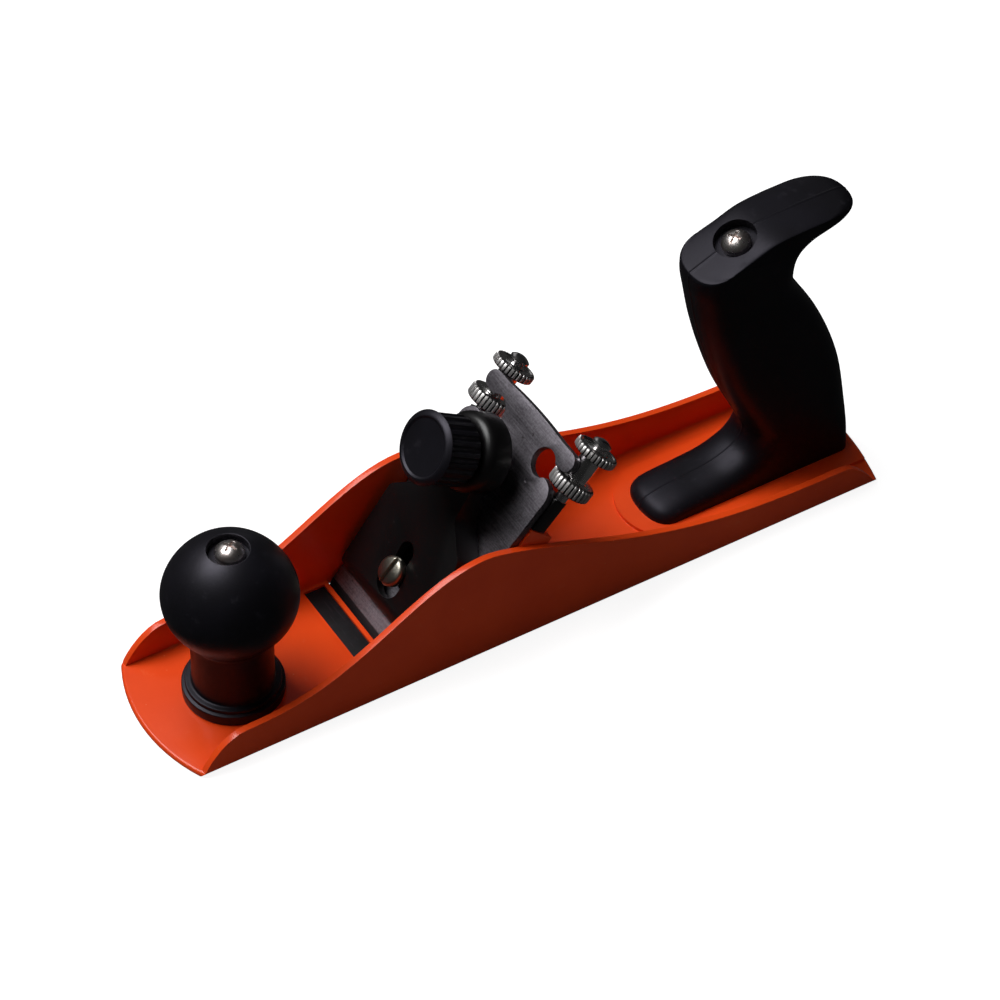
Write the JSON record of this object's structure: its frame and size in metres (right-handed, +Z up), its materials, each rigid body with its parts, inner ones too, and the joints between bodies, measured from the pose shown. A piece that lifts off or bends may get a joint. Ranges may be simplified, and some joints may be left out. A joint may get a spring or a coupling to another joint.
{
  "type": "hand plane",
  "caption": "Smoothing plane with a flat sole and tall cheeks, round front knob, horned rear handle, bedded cutter, keyhole lever cap with clamp knob and knurled depth wheels.",
  "frame": {"origin": "middle of the sole's underside", "axes": "+X from the toe to the heel, +Z up out of the sole; the near cheek is on -Y"},
  "size_m": [0.2416, 0.0564, 0.1029],
  "materials": {
    "orange_paint": "glossy orange enamel over iron",
    "dark_plate": "dull dark grey",
    "black_moulding": "satin black moulding",
    "black_paint": "glossy black enamel",
    "plain_steel": "brushed across the width",
    "bright_chrome": "bright plated"
  },
  "bodies": {
    "plane_body": {"body": "orange_paint", "mouth_plate": "dark_plate", "front_knob": "black_moulding", "knob_screw": "bright_chrome", "tote": "black_moulding", "tote_screw": "bright_chrome", "frog": "black_paint", "frog_screws": "plain_steel", "lever_cap_screw": "bright_chrome", "adjuster_stud_near": "bright_chrome", "adjuster_stud_far": "bright_chrome"},
    "cutter": {"blade": "plain_steel"},
    "wheel_near": {"adjuster_wheel_near": "bright_chrome"},
    "wheel_far": {"adjuster_wheel_far": "bright_chrome"},
    "cap": {"lever_cap": "black_paint"},
    "clamp_screw": {"clamp_stud": "plain_steel"},
    "clamp_grip": {"clamp_knob": "black_moulding"}
  },
  "joints": [
    {"name": "blade_depth", "type": "slide", "parent": "plane_body", "child": "cutter", "axis": [0.6756, 0, 0.7373], "range_m": [-0.0015, 0.001]},
    {"name": "wheel_near_turn", "type": "hinge", "parent": "cutter", "child": "wheel_near", "pos_m": [0.01077, -0.0214, 0.05479], "axis": [0.6756, 0, 0.7373], "range_deg": [-772, 515]},
    {"name": "wheel_far_turn", "type": "hinge", "parent": "cutter", "child": "wheel_far", "pos_m": [0.01077, 0.0214, 0.05479], "axis": [0.6756, 0, 0.7373], "range_deg": [-772, 515]},
    {"name": "cap_release", "type": "slide", "parent": "plane_body", "child": "cap", "axis": [0.6756, 0, 0.7373], "range_m": [0, 0.0032]},
    {"name": "clamp_out", "type": "slide", "parent": "cap", "child": "clamp_screw", "axis": [-0.848, 0, 0.5299], "range_m": [0, 0.002]},
    {"name": "clamp_turn", "type": "hinge", "parent": "clamp_screw", "child": "clamp_grip", "pos_m": [-0.00171, 0, 0.05036], "axis": [-0.848, 0, 0.5299], "range_deg": [0, 576.1]}
  ],
  "couplings": [
    {"joint": "wheel_near_turn", "follows": "blade_depth", "rad_per_m": 8976},
    {"joint": "wheel_far_turn", "follows": "blade_depth", "rad_per_m": 8976},
    {"joint": "clamp_turn", "follows": "clamp_out", "rad_per_m": 5026.5}
  ]
}
